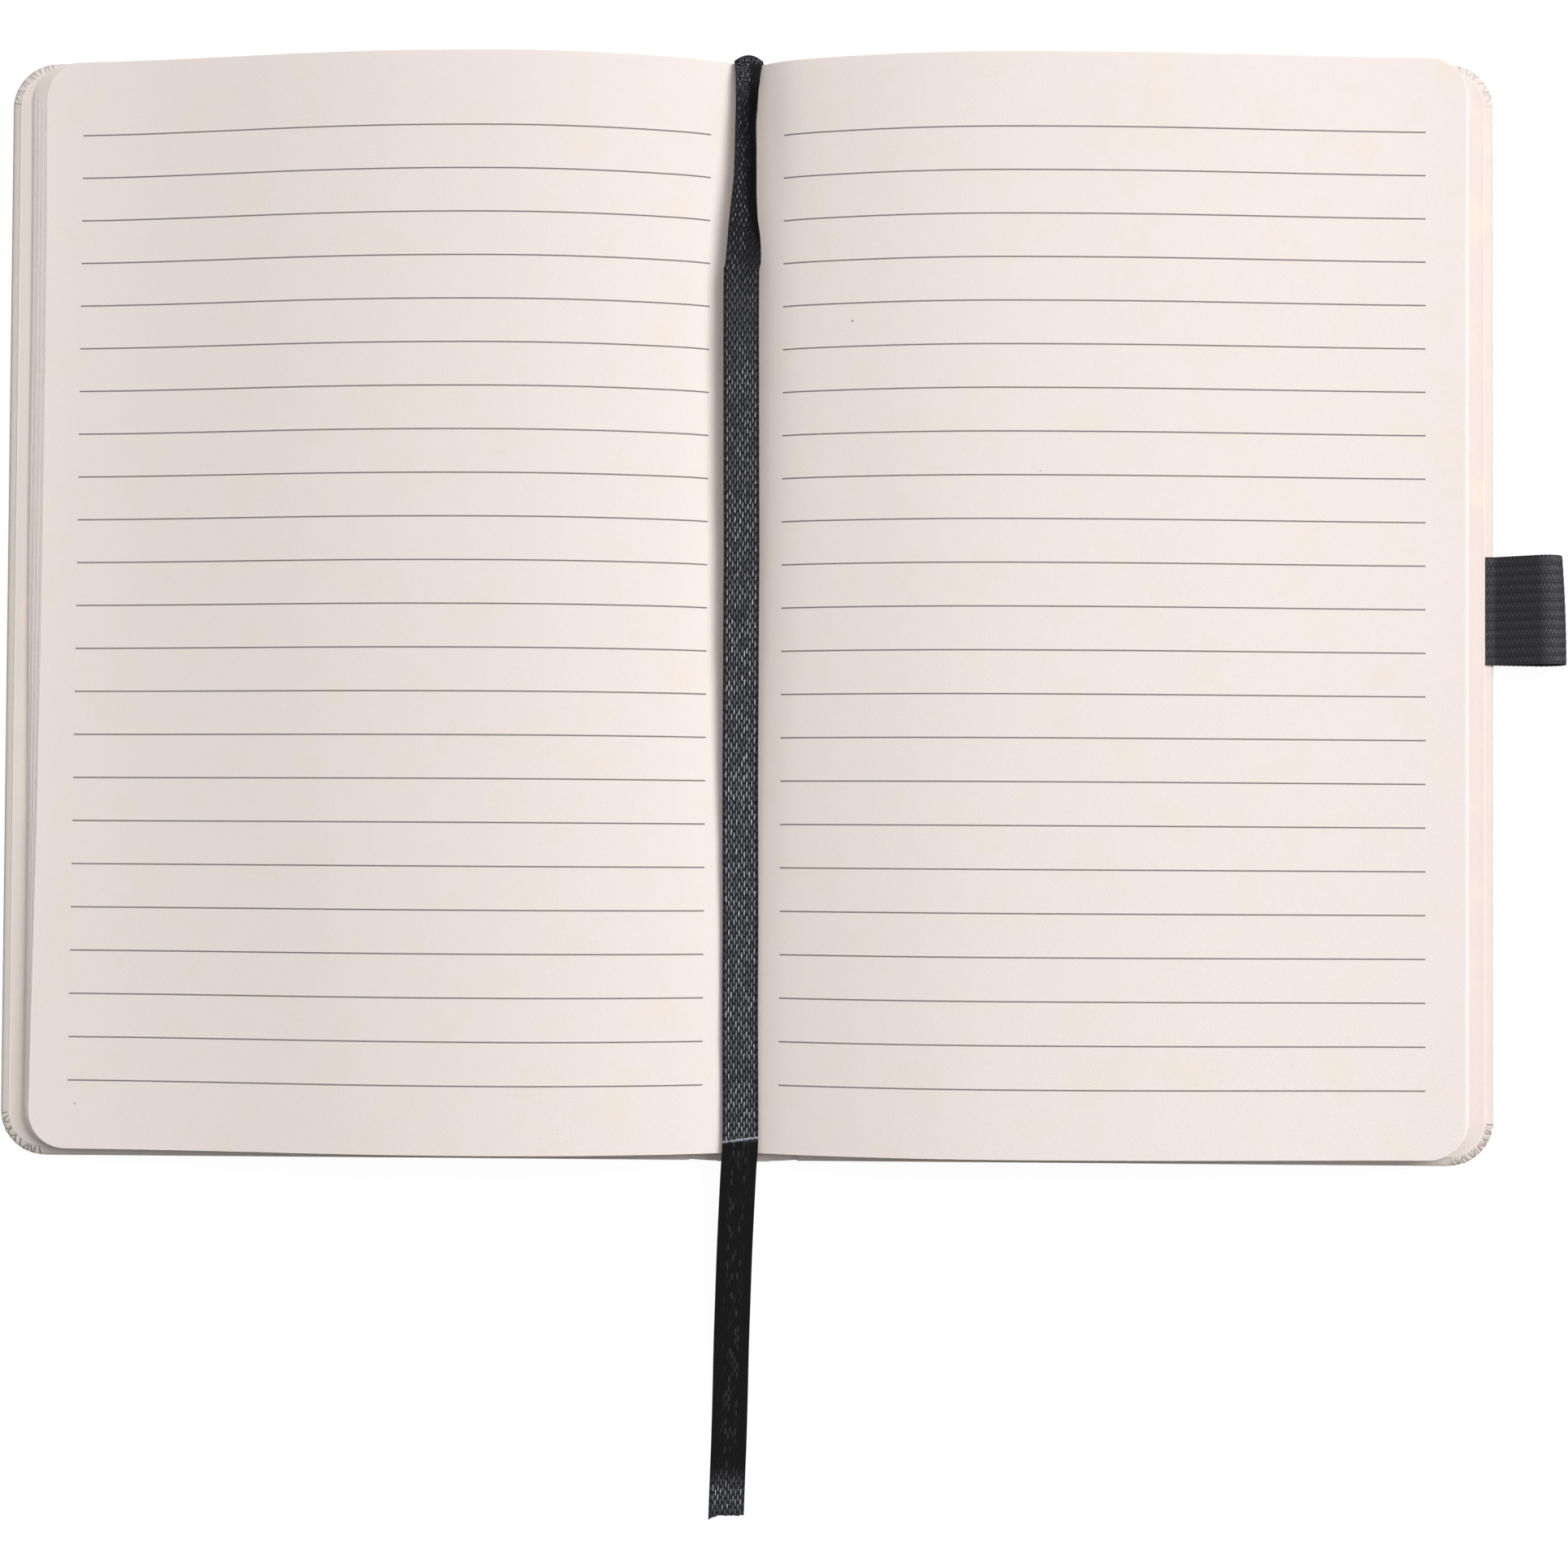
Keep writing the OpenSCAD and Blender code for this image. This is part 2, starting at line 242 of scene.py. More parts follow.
class Finish(Nodes):
    def __init__(self, name, **fixed):
        self.material = bpy.data.materials.new(name)
        self.material.use_nodes = True
        super().__init__(self.material.node_tree)
        self.shader = self.tree.nodes["Principled BSDF"]
        for socket, value in fixed.items():
            self.put(socket, value)

    def put(self, socket, value):
        self.link(self.shader.inputs[socket.replace("_", " ")], value)

    def place(self):
        return self.node("TexCoord", {}, {}, "Object")

    def along(self):
        return self.node("TexCoord", {}, {}, "UV")

    def stored(self, name):
        return self.node("Attribute", {"attribute_name": name}, {}, "Fac")

    def noise(self, where, grain, detail=2.0, rough=0.5):  # grain in millimetres
        values = {"Vector": where, "Scale": 1 / (grain * millimetre), "Detail": detail,
                  "Roughness": rough}
        return self.node("TexNoise", {}, values, "Fac")

    def cells(self, where, grain):
        values = {"Vector": where, "Scale": 1 / (grain * millimetre)}
        return self.node("TexVoronoi", {}, values, "Distance")

    def chance(self, column, row):  # one even random number for each cell of a grid
        cell = self.node("CombineXYZ", {}, [column, row])
        return self.node("TexWhiteNoise", {"noise_dimensions": "2D"}, {"Vector": cell}, "Value")

    def blend(self, share, a, b, how="MIX"):
        made = self.tree.nodes.new("ShaderNodeMix")
        made.data_type = "RGBA"
        made.blend_type = how
        self.link(made.inputs[0], share)
        self.link(made.inputs[6], a)
        self.link(made.inputs[7], b)
        return Wire(self, made.outputs[2])

    def bump(self, height, depth):  # depth in millimetres
        values = {"Height": height, "Distance": depth * millimetre}
        self.put("Normal", self.node("Bump", {}, values))


# A noise is its grain in millimetres, its detail and its roughness, and a ramp or an edge is
# where it starts and where it ends

paperSet = {
    "colour": (0.905, 0.815, 0.775),
    "warm": (0.905, 0.80, 0.70),
    "fibre": (0.70, 0.63, 0.60),
    "speck": (0.10, 0.08, 0.07),
    # painted highlight along the paper's cut edges
    "cut": (0.97, 0.905, 0.87),
    "warmShare": 0.55,
    "fibreShare": 0.22,
    "speckShare": 0.8,
    "cutShare": 0.4,
    "blotches": (9.0, 3.0),
    "blotchRamp": (0.5, 0.72),
    "fibres": (0.35, 4.0, 0.7),
    "fibreRamp": (0.5, 0.85),
    "stretch": (1, 0.35, 1),  # fibres are longer along the page
    "speckApart": 16.0,
    "speckRamp": (0.008, 0.016),
    "tooth": (0.25, 4.0, 0.65),
    "depth": 0.03,
    "rough": 0.85,
    "shine": 0.06,
    # painted shade: the whole colour is darkened by this factor
    "paintedShade": 1.0,
}
endpaperSet = dict(paperSet, colour=(0.825, 0.728, 0.68), blotches=(14.0, 3.0))
# leaves under the top one: painted shade and a weaker edge highlight
leafPaperSet = dict(paperSet, cutShare=0.15, paintedShade=0.87)
rulingSet = {
    "firstLine": 88.95,  # height of the top line on the page
    "pitch": 8.142,
    "lines": 23,
    "weight": 0.24,
    "inkRamp": (0.3, 0.62),  # from the middle of a line, in weights
    "ragged": (0.5, 2.0),
    "raggedReach": 0.10,
    "raggedStretch": (1, 3, 1),
    # ends of the lines on the left and the right page, and how far they lean along y
    "ends": [(-126.9, -7.33, 0.0025), (6.7, 126.9, 0.0)],
    "endSoft": 0.05,
    "ink": (0.10, 0.085, 0.085),
    "inkShare": 0.85,
}


def paperColour(finish, where, s):
    warm = finish.noise(where, *s["blotches"]).ramp(*s["blotchRamp"])
    longer = where.stretched(*s["stretch"])
    fibres = finish.noise(longer, *s["fibres"]).ramp(*s["fibreRamp"])
    specks = finish.cells(where, s["speckApart"]).fall(*s["speckRamp"])
    colour = finish.blend(warm * s["warmShare"], s["colour"], s["warm"])
    colour = finish.blend(fibres * s["fibreShare"], colour, s["fibre"])
    return finish.blend(specks * s["speckShare"], colour, s["speck"])


def ruledColour(finish, where, colour, s):
    x, y = where.flat()
    row = (s["firstLine"] - y) / s["pitch"]
    nearest = row.maths("ROUND")
    away = (row - nearest).size() * s["pitch"]
    longer = where.stretched(*s["raggedStretch"])
    ragged = finish.noise(longer, *s["ragged"]) * s["raggedReach"]
    full, gone = [share * s["weight"] for share in s["inkRamp"]]
    drawn = away.fall(full, ragged + gone)
    inRows = (nearest - (s["lines"] - 1) / 2).size().maths("LESS_THAN", s["lines"] / 2)
    onPages = 0
    for start, end, lean in s["ends"]:
        half = (end - start) / 2
        edge = (half - s["endSoft"], half + s["endSoft"])
        onPages += (x - y * lean).near((start + end) / 2, edge)
    return finish.blend(drawn * inRows * onPages * s["inkShare"], colour, s["ink"])


def panelRim(where, s):  # painted highlight along the cut edge of a panel whose far corners are round
    x, y = where.flat()
    x = x.size() - (s["reach"] - s["corner"])
    y = (y - s["middle"]).size() - (s["half"] - s["corner"])
    far = (x.larger(0.0) ** 2 + y.larger(0.0) ** 2) ** 0.5 - s["corner"]
    return far.ramp(*s["rim"])


def paperFinish(name, s, ruling=None, outline=None):
    finish = Finish(name, Roughness=s["rough"], Specular_IOR_Level=s["shine"])
    where = finish.place()
    colour = paperColour(finish, where, s)
    if ruling:
        colour = ruledColour(finish, where, colour, ruling)
    # painted shade: the whole colour darkened
    if s["paintedShade"] < 1.0:
        colour = finish.blend(1.0, colour, (s["paintedShade"],) * 3, "MULTIPLY")
    # painted highlight: the colour lightened along the cut edges
    cut = panelRim(where, outline) if outline else finish.stored("cutEdge")
    finish.put("Base Color", finish.blend(cut * s["cutShare"], colour, s["cut"]))
    finish.bump(finish.noise(where, *s["tooth"]), s["depth"])
    return finish.material


clothSet = {
    "colour": (0.80, 0.72, 0.67),
    # the pleats' creases are darker: partly dirt, partly painted shade
    "crease": (0.13, 0.10, 0.085),
    "mottle": (3.0, 4.0, 0.6),
    "mottleRamp": (0.35, 0.8),
    "mottleShare": 0.25,
    "mottleShade": 0.86,
    "weave": 0.32,
    "nap": (0.5, 4.0, 0.6),
    "depth": 0.02,
    "rough": 0.7,
    "shine": 0.08,
}


def clothFinish(name, s):
    finish = Finish(name, Roughness=s["rough"], Specular_IOR_Level=s["shine"])
    where = finish.place()
    mottled = finish.noise(where, *s["mottle"]).ramp(*s["mottleRamp"])
    darker = tuple(c * s["mottleShade"] for c in s["colour"])
    colour = finish.blend(mottled * s["mottleShare"], s["colour"], darker)
    # darker in the pleats' creases: partly dirt, partly painted shade
    finish.put("Base Color", finish.blend(finish.stored("crease"), colour, s["crease"]))
    x, y = where.flat()
    ribs = ((x + y).wave(s["weave"] * 2) + (x - y).wave(s["weave"] * 2)) * 0.5
    finish.bump(ribs + finish.noise(where, *s["nap"]), s["depth"])
    return finish.material


hiddenSet = {"spread": 0.2, "depth": 0.05, "rough": 0.9}
greyBoardSet = dict(hiddenSet, colour=(0.42, 0.36, 0.29), patches=(0.8, 4.0, 0.6))
gluedClothSet = dict(hiddenSet, colour=(0.70, 0.66, 0.60), patches=(0.5, 4.0, 0.6))


def hiddenFinish(name, s):
    finish = Finish(name, Roughness=s["rough"])
    patch = finish.noise(finish.place(), *s["patches"])
    darker = tuple(c * (1 - s["spread"]) for c in s["colour"])
    finish.put("Base Color", finish.blend(patch, s["colour"], darker))
    finish.bump(patch, s["depth"])
    return finish.material


satinSet = {
    "ground": (0.007, 0.0073, 0.009),
    "thread": (0.054, 0.057, 0.071),
    # painted shade for the folded head's right side and the tail
    "shaded": (0.001, 0.001, 0.0013),
    # painted glints at the head, on the folded stretch and the tail, and the crease's bright line, partly
    # frayed threads and partly painted highlight
    "glintAndFray": (0.45, 0.45, 0.52),
    "dull": 1.0,
    "gloss": 0.2,
    "shine": 0.06,
    "depth": 0.05,
    "column": 0.48,  # one column of threads
    "sway": (2.2, 2.0),
    "swayReach": 0.4,
    "stitch": 1.8,  # from one thread to the next in its column
    "stagger": 0.5,  # from column to column, in stitches, and by chance
    "staggerChance": 0.2,
    "halfThread": (0.40, 0.45),  # in columns across and in stitches along
    "threadRamp": (0.0, 0.5),
    "faintest": 0.55,  # each thread shows this much or more, by chance
    "crown": 1.2,
    "round": 0.3,
    "selvedge": (2.75, 2.9),
    "knot": 1.45,
    "knotLean": 0.6,
    "knotRamp": (0.4, 0.9),
    "knotShare": 0.3,
    "knotHeight": 0.5,
}
# Folded, painted sheen, tail and head ramps run along the ribbon from its head, and sides across it; they
# place painted shade on the folded head and the tail, a painted sheen on the threads and painted glints
satinWearSet = {
    "folded": (34.0, 52.0),
    "foldedSlim": 0.45,
    # painted shade across the folded head, darker towards its right side
    "foldedShadeSide": (-0.5, 0.8),
    "foldedShade": 0.5,
    # painted glints on the folded stretch and the tail
    "foldedGlint": 0.35,
    "foldedGlintOwn": (0.3, 0.9),
    "foldedGlintEnd": (0.2, 0.9),
    # painted sheen: the threads brighter towards the foot
    "paintedSheenRamp": (90.0, 160.0),
    "paintedSheenLeast": 0.55,
    "tailStart": (207.4, 208.4),
    "tailEnd": (270.0, 275.0),
    "tailGlint": 0.08,
    "tailGlintOwn": (0.45, 0.95),
    "tailGlintEdge": (0.8, 2.0),
    "ragged": (0.32, 3.0, 0.7),
    "creaseReach": 1.4,
    "creaseEdge": (0.08, 0.24),
    "creaseRagged": (0.35, 0.6),
    "creaseLeast": 0.4,
    "headEnd": (6.0, 13.0),
    "headSide": (-0.2, 0.6),
    "headSideStart": (4.0, 5.5),
    "headRagged": (0.57, 0.63),
    "headGlint": 0.8,
}


def satinWeave(finish, where, slim, s):
    x, y = where.flat()
    wavy = (x + (finish.noise(where, *s["sway"]) - 0.5) * s["swayReach"]) / s["column"]
    column = wavy.maths("FLOOR")
    chance = finish.chance(column, 0.0) * s["staggerChance"]
    climb = y / s["stitch"] + column * s["stagger"] + chance
    own = finish.chance(column, climb.maths("FLOOR"))
    across, run = [((place.maths("FRACT") - 0.5) / slim / half) ** 2
                   for place, half in zip((wavy, climb), s["halfThread"])]
    edge = x.size().ramp(*s["selvedge"])
    body = (1 - across - run).ramp(*s["threadRamp"]) * (1 - edge)
    knots = (y + x.size() * s["knotLean"]).wave(s["knot"]).ramp(*s["knotRamp"]) * edge
    height = body * (s["crown"] - run - across * s["round"]) + knots * s["knotHeight"]
    return body, knots, own, height


def satinGlintAndFray(finish, where, threads, folded, tail, crease, s):
    x, y = where.flat()
    body, own = threads
    ragged = finish.noise(where, *s["ragged"])
    # the crease's bright line: partly frayed threads, partly painted highlight
    line = y + (x - 1) * crease["slant"] + (ragged - 0.5) * s["creaseReach"]
    fray = (line.near(crease["along"], s["creaseEdge"])
            * ragged.ramp(*s["creaseRagged"]).spread(s["creaseLeast"]))
    # painted glints at the head, on the folded stretch and on the tail
    head = y.fall(*s["headEnd"]) * (1 - x.ramp(*s["headSide"]) * y.ramp(*s["headSideStart"]))
    fray = fray.larger(head * ragged.ramp(*s["headRagged"]) * s["headGlint"])
    inFold = folded * own.ramp(*s["foldedGlintOwn"]) * x.fall(*s["foldedGlintEnd"])
    fray = fray.larger(body * inFold * s["foldedGlint"])
    inTail = tail * own.ramp(*s["tailGlintOwn"]) * x.near(0.0, s["tailGlintEdge"])
    return fray.larger(body * inTail * s["tailGlint"])


def ribbonFinish(name, s, wear, crease):
    finish = Finish(name, Specular_IOR_Level=s["shine"])
    where = finish.along()
    x, y = where.flat()
    folded = y.fall(*wear["folded"])
    tail = y.ramp(*wear["tailStart"]) * y.fall(*wear["tailEnd"])
    slim = 1 - folded * wear["foldedSlim"]
    body, knots, own, height = satinWeave(finish, where, slim, s)
    thread = body * own.spread(s["faintest"]) + knots * s["knotShare"]
    # painted shade: the folded head darker towards its right side, and the tail below the crease
    dark = (folded * x.ramp(*wear["foldedShadeSide"]).spread(wear["foldedShade"])).larger(tail)
    # painted glints, and the crease's line that is partly fraying and partly painted highlight
    fray = satinGlintAndFray(finish, where, (body, own), folded, tail, crease, wear)
    # painted sheen: threads brighter towards the foot
    paintedSheen = y.ramp(*wear["paintedSheenRamp"]).spread(wear["paintedSheenLeast"])
    colour = finish.blend(thread * paintedSheen, s["ground"], s["thread"])
    colour = finish.blend(dark, colour, s["shaded"])
    # glints and fray: painted highlight over the colour, partly frayed threads at the crease
    finish.put("Base Color", finish.blend(fray, colour, s["glintAndFray"]))
    finish.put("Roughness", (thread * (1 - tail)).spread(s["dull"], s["gloss"]))
    finish.bump(height, s["depth"])
    return finish.material


elasticSet = {
    "ground": (0.004, 0.004, 0.0055),
    "thread": (0.085, 0.085, 0.1),
    "dull": 0.75,
    "gloss": 0.38,
    "shine": 0.08,
    "depth": 0.12,
    "stitch": 0.36,
    "flatSheenShare": 0.5,  # how bright the thread is painted where the elastic lies flat, before the painted sheen over the bend
    "bend": (10.5, 15.0),  # from its end to where the painted sheen over the bend comes in
    # places and edges across one rib, as shares of it
    "zigzag": 0.3,
    "zigzagSwing": 1.05,
    "zigzagEdge": (0.05, 0.17),
    "dots": 0.1,
    "dotEdge": (0.05, 0.1),
    "groove": 0.98,
    "grooveEdge": (0.03, 0.07),
    "dotRamp": (0.5, 0.85),
    "dotShare": 0.7,
    "uneven": (0.7, 3.0, 0.7),
    "unevenRamp": (0.3, 0.7),
    "faintest": 0.25,
    "threadHeight": 0.5,
    "grooveDepth": 0.7,
}


def elasticFinish(name, s, rib):
    finish = Finish(name, Specular_IOR_Level=s["shine"])
    where = finish.along()
    x, y = where.flat()  # across the elastic and round the loop
    place = (x / rib).maths("FRACT")
    swing = ((y / (2 * s["stitch"])).maths("FRACT") - 0.5).size()  # 0 to 0.5 and back
    zigzag = place.near(swing * s["zigzagSwing"] + s["zigzag"], s["zigzagEdge"])
    dots = y.wave(s["stitch"]).ramp(*s["dotRamp"]) * place.near(s["dots"], s["dotEdge"])
    groove = place.near(s["groove"], s["grooveEdge"])
    uneven = finish.noise(where, *s["uneven"]).ramp(*s["unevenRamp"]).spread(s["faintest"])
    # painted sheen: threads brighter over the bend
    paintedSheen = y.ramp(*s["bend"]).spread(s["flatSheenShare"])
    thread = (zigzag + dots * s["dotShare"]) * uneven * paintedSheen
    finish.put("Base Color", finish.blend(thread, s["ground"], s["thread"]))
    finish.put("Roughness", thread.spread(s["dull"], s["gloss"]))
    finish.bump(thread * s["threadHeight"] - groove * s["grooveDepth"], s["depth"])
    return finish.material


# Tools for making pieces

def madePiece(name, bm, materials, smooth=True):
    bmesh.ops.scale(bm, vec=(millimetre,) * 3, verts=bm.verts)
    for edge in bm.edges:
        edge.smooth = not edge.is_boundary
    mesh = bpy.data.meshes.new(name)
    bm.to_mesh(mesh)
    bm.free()
    for material in materials:
        mesh.materials.append(material)
    for face in mesh.polygons:
        face.use_smooth = smooth
    piece = bpy.data.objects.new(name, mesh)
    bpy.context.collection.objects.link(piece)
    return piece


def thickened(piece, thickness, offset=-1.0):
    shell = piece.modifiers.new("thickness", "SOLIDIFY")
    shell.thickness = thickness * millimetre
    shell.offset = offset


def gridOf(columns, rows, marks=()):  # a flat grid whose points know their column and row
    bm = bmesh.new()
    bmesh.ops.create_grid(bm, x_segments=columns, y_segments=rows, size=0.5)
    bm.loops.layers.uv.new("along")
    for mark in marks:
        bm.verts.layers.float.new(mark)
    xs = sorted({round(v.co.x, 5) for v in bm.verts})
    ys = sorted({round(v.co.y, 5) for v in bm.verts})
    column = {x: i for i, x in enumerate(xs)}
    row = {y: i for i, y in enumerate(ys)}
    places = [(v, column[round(v.co.x, 5)], row[round(v.co.y, 5)]) for v in bm.verts]
    return bm, places, len(xs), len(ys)


def layAlong(bm, vert, across, along):  # where a point lies on its strip
    coords = bm.loops.layers.uv["along"]
    for loop in vert.link_loops:
        loop[coords].uv = (across * millimetre, along * millimetre)


def cutAcross(bm, place, normal):  # a row of points where a plane goes through
    bmesh.ops.bisect_plane(bm, geom=bm.verts[:] + bm.edges[:] + bm.faces[:],
                           plane_co=place, plane_no=normal)


def pulledOut(bm, faces, offset):
    grown = bmesh.ops.extrude_face_region(bm, geom=faces)["geom"]
    moved = [made for made in grown if isinstance(made, bmesh.types.BMVert)]
    bmesh.ops.translate(bm, vec=offset, verts=moved)


def rounded(bm, geom, offset, segments=3, affect="EDGES"):
    bmesh.ops.bevel(bm, geom=geom, offset=offset, offset_type="OFFSET", segments=segments,
                    profile=0.5, affect=affect, material=-1)


# Floor and sky

def makeFloor(s):
    finish = Finish("floorWhite")
    tree = finish.tree
    onlySeen = finish.node("LightPath", {}, {}, "Is Camera Ray")
    bounced = finish.node("BsdfDiffuse", {}, {"Color": (s["bounce"],) * 3})
    faint = finish.node("BsdfDiffuse", {}, {"Color": (s["albedo"],) * 3})
    glow = finish.node("Emission", {}, {"Strength": s["glow"]})
    seen = finish.node("AddShader", {}, [faint, glow])
    front = finish.node("MixShader", {}, [onlySeen, bounced, seen])
    clear = finish.node("BsdfTransparent", {}, {})
    below = finish.node("NewGeometry", {}, {}, "Backfacing")
    both = finish.node("MixShader", {}, [below, front, clear])
    tree.links.new(both.socket, tree.nodes["Material Output"].inputs["Surface"])
    bm = bmesh.new()
    bmesh.ops.create_grid(bm, x_segments=1, y_segments=1, size=s["size"] / 2)
    bmesh.ops.translate(bm, vec=(0, 0, -s["drop"]), verts=bm.verts)
    madePiece("floor", bm, [finish.material])


def makeSky(s):
    world = bpy.data.worlds.new("sky")
    bpy.context.scene.world = world
    world.use_nodes = True
    sky = Nodes(world.node_tree)
    seen = sky.node("LightPath", {}, {}, "Is Camera Ray")
    through = sky.node("LightPath", {}, {}, "Is Transmission Ray")
    shiny = sky.node("LightPath", {}, {}, "Is Glossy Ray") * s["glossSky"]
    strength = (seen + through + shiny + s["sky"]).smaller(1.0)
    sky.link(sky.tree.nodes["Background"].inputs["Strength"], strength)
    sky.tree.nodes["Background"].inputs["Color"].default_value = (1, 1, 1, 1)


makeSky(lampSet)
makeFloor(floorSet)
print("floor and sky made")

blockLow, blockHigh = millimetres("text_block")
clothLow, clothHigh = millimetres("back_cloth")
pasteLow, pasteHigh = millimetres("back_pastedown")
flyLow, flyHigh = millimetres("back_flyleaf")
stripHigh = millimetres("spine_strip")[1]
liningHigh = millimetres("spine_lining")[1]
boardLow = millimetres("back_board")[0]
caseHalf = (clothHigh[1] - clothLow[1]) / 2
caseMiddle = (clothHigh[1] + clothLow[1]) / 2
wrap = 0.35  # cloth past the spine's strip
jointIn = stripHigh[0] + wrap
jointOut = boardLow[0] - 0.3  # the joints' cloth reaches from the spine's to the covers'

# Ribbon marker, a flat cord

ribbonSet = {
    # middle line from the block's head to the free end, as in the part's source
    "route": [
        (0, 103.5, 2), (0, 103.8, 2.8), (0, 104, 3.8), (0, 103.9, 4.8), (0, 103.2, 5.6),
        (0, 101.5, 6), (-0.1, 97, 6.4), (-0.4, 88, 7.1), (-0.8, 76, 7.7), (-1.1, 64, 7.9),
        (-1.1, 52, 7.8), (-1, 38, 7.5), (-0.9, 24, 7.2), (-0.8, 10, 6.9), (-0.8, -4, 6.7),
        (-0.8, -18, 6.5), (-0.8, -32, 6.4), (-0.7, -46, 6.3), (-0.6, -60, 6.2),
        (-0.6, -74, 6.1), (-0.5, -86, 6.1), (-0.4, -95, 6.2), (-0.4, -101, 6.3),
        (-0.7, -106, 6), (-1, -112, 5.3), (-1.4, -121, 4.2), (-1.7, -130, 3.2), (-2, -140, 2),
        (-2.2, -150, 1), (-2.4, -158, 0.4), (-2.6, -164, 0.2), (-2.8, -171.6, 0.2),
    ],
    "width": 6.7,
    "thickness": 0.24,
    "step": 0.4,
    "smooth": 12,  # spots from one point of the route to the next
    "columns": 20,
    # the folds at the head, by distance along the ribbon: two slopes in degrees that meet over
    # a bend, how far the bend is from the right edge, and where the left edge lies
    "foldEnd": 44,
    "foldSteps": 24,
    "leftSlope": [(0, 36), (17, 33), (27, 28), (35, 17), (44, 0)],
    "rightSlope": [(0, 36), (6, 42), (11, 52), (17, 62), (27, 65), (35, 65), (44, 10)],
    "fold": [(0, -0.75), (4, -0.75), (8, 0.2), (12, 1.0), (44, 1.0)],  # ridge to valley
    "bend": [(0, 6), (5, 5), (10, 1.2), (44, 1.2)],
    "rightArm": [(0, 3.35), (17, 3.35), (27, 2.6), (35, 1.4), (43.5, 0.0)],
    "leftEdge": [(0, -2.9), (5.7, -2.6), (12, -2.35), (22, -2.5), (27, -2.65), (35, -3.5),
                 (44, -4.2)],
    "leftLift": [(0, -0.6), (4, -0.6), (7, 0.1), (25, 0.4), (60, 0.9), (115, 0.9), (160, 0.0)],
    "crease": {"at": -101.0, "along": 207.6, "slant": 0.14, "height": 0.3, "reach": 0.5},
    # how much narrower the folded head is, along the ribbon
    "squeeze": [(0, 0.92), (5, 0.86), (12, 0.82), (30, 0.86), (44, 1.0)],
    "waves": [(0.05, 4.1, 0.0), (0.04, 2.3, 1.2)],  # height, length and start
    "fray": 0.12,
    "endSlant": 0.85,
    "endPower": 2.5,
    "curl": {"height": 0.9, "start": 161.0, "reach": 10.0},  # how the free end lifts
    "seed": 21,
}


def alongRoute(points, s):  # a smooth curve through the points, cut into even steps
    spots = []
    padded = [points[0], *points, points[-1]]
    for a, b, c, d in zip(padded, padded[1:], padded[2:], padded[3:]):
        for i in range(s["smooth"]):
            t = i / s["smooth"]
            spots.append(0.5 * (2 * b + (c - a) * t + (2 * a - 5 * b + 4 * c - d) * t * t
                                + (3 * b - a - 3 * c + d) * t ** 3))
    spots.append(points[-1])
    even, gone = [(0.0, spots[0])], 0.0
    for p, q in zip(spots, spots[1:]):
        gone += (q - p).length
        if gone - even[-1][0] >= s["step"]:
            even.append((gone, q))
    even.append((gone, spots[-1]))
    return even


def ribbonSpot(line, row, u, s):  # a point of the ribbon, u from its middle
    gone, spot = line[row]
    behind, ahead = line[max(0, row - 1)][1], line[min(len(line) - 1, row + 1)][1]
    up = (ahead - behind).normalized().cross(Vector((1, 0, 0))).normalized()
    half, crease, curl = s["width"] / 2, s["crease"], s["curl"]
    hinge = half - keyed(gone, s["rightArm"])
    leftSlope = math.radians(keyed(gone, s["leftSlope"]))
    rightSlope = math.radians(keyed(gone, s["rightSlope"]))
    bend, fold, squeeze = [keyed(gone, s[name]) for name in ("bend", "fold", "squeeze")]
    across, lift = 0.0, keyed(gone, s["leftLift"])
    for i in range(s["foldSteps"]):  # walk across the ribbon, turning at the bend
        at = between(-half, u, (i + 0.5) / s["foldSteps"])
        slope = between(-leftSlope, rightSlope, eased((at - hinge) / bend + 0.5))
        across += math.cos(slope) * squeeze * (u + half) / s["foldSteps"]
        lift += math.sin(slope) * fold * (u + half) / s["foldSteps"]
    start = keyed(gone, s["leftEdge"]) if gone < s["foldEnd"] else spot.x - half
    for height, length, phase in s["waves"]:
        lift += height * math.sin(gone / length + phase)
    # the fold where it tips over the foot of the pages
    fromCrease = spot.y - crease["at"] - crease["slant"] * (u - 1)
    lift += crease["height"] * math.exp(-(fromCrease / crease["reach"]) ** 2)
    lift += curl["height"] * eased((-spot.y - curl["start"]) / curl["reach"]) ** 2
    return Vector((start + across, spot.y, spot.z)) + up * lift


def makeRibbon(s):
    wander = random.Random(s["seed"])
    line = alongRoute([Vector(p) for p in s["route"]], s)
    bm, places, columns, rows = gridOf(s["columns"], len(line) - 1)
    half = s["width"] / 2
    fray = [wander.uniform(-s["fray"], s["fray"]) for _ in range(columns)]
    for vert, column, row in places:
        u = between(-half, half, column / (columns - 1))
        vert.co = ribbonSpot(line, row, u, s)
        if row == rows - 1:
            vert.co.y += fray[column] - s["endSlant"] * max(0.0, -u / half) ** s["endPower"]
        layAlong(bm, vert, u, line[row][0])
    bmesh.ops.recalc_face_normals(bm, faces=bm.faces)
    if sum(face.normal.z * face.calc_area() for face in bm.faces) < 0:
        bmesh.ops.reverse_faces(bm, faces=bm.faces)
    material = ribbonFinish("satin", satinSet, satinWearSet, s["crease"])
    piece = madePiece("ribbon", bm, [material])
    thickened(piece, s["thickness"], 0.0)
    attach(piece, "root")
    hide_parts("ribbon_marker")


makeRibbon(ribbonSet)

# Pen loop, one strip of elastic folded back on itself

loopSet = {
    "width": 20.4,
    "thickness": 0.43,
    "rows": 12,  # ribs across it, and points across a rib
    "perRow": 8,
    "rise": 0.05,  # of a rib, and how soon it stands out past the cover
    "riseSoon": 8,
    "tabTop": 2.88,  # the outer end lies over the cloth's margin, up to the endpaper
    "lean": 0.75,  # how much less the head end stands out
    "turns": 40,
    "clear": 0.05,  # off the cloth's edge and the endpaper
    "apart": 0.06,
    "tuck": 0.1,
    "rim": {"height": 0.05, "length": 0.9, "share": 0.49},  # small waves of both edges
    "step": 0.45,
}


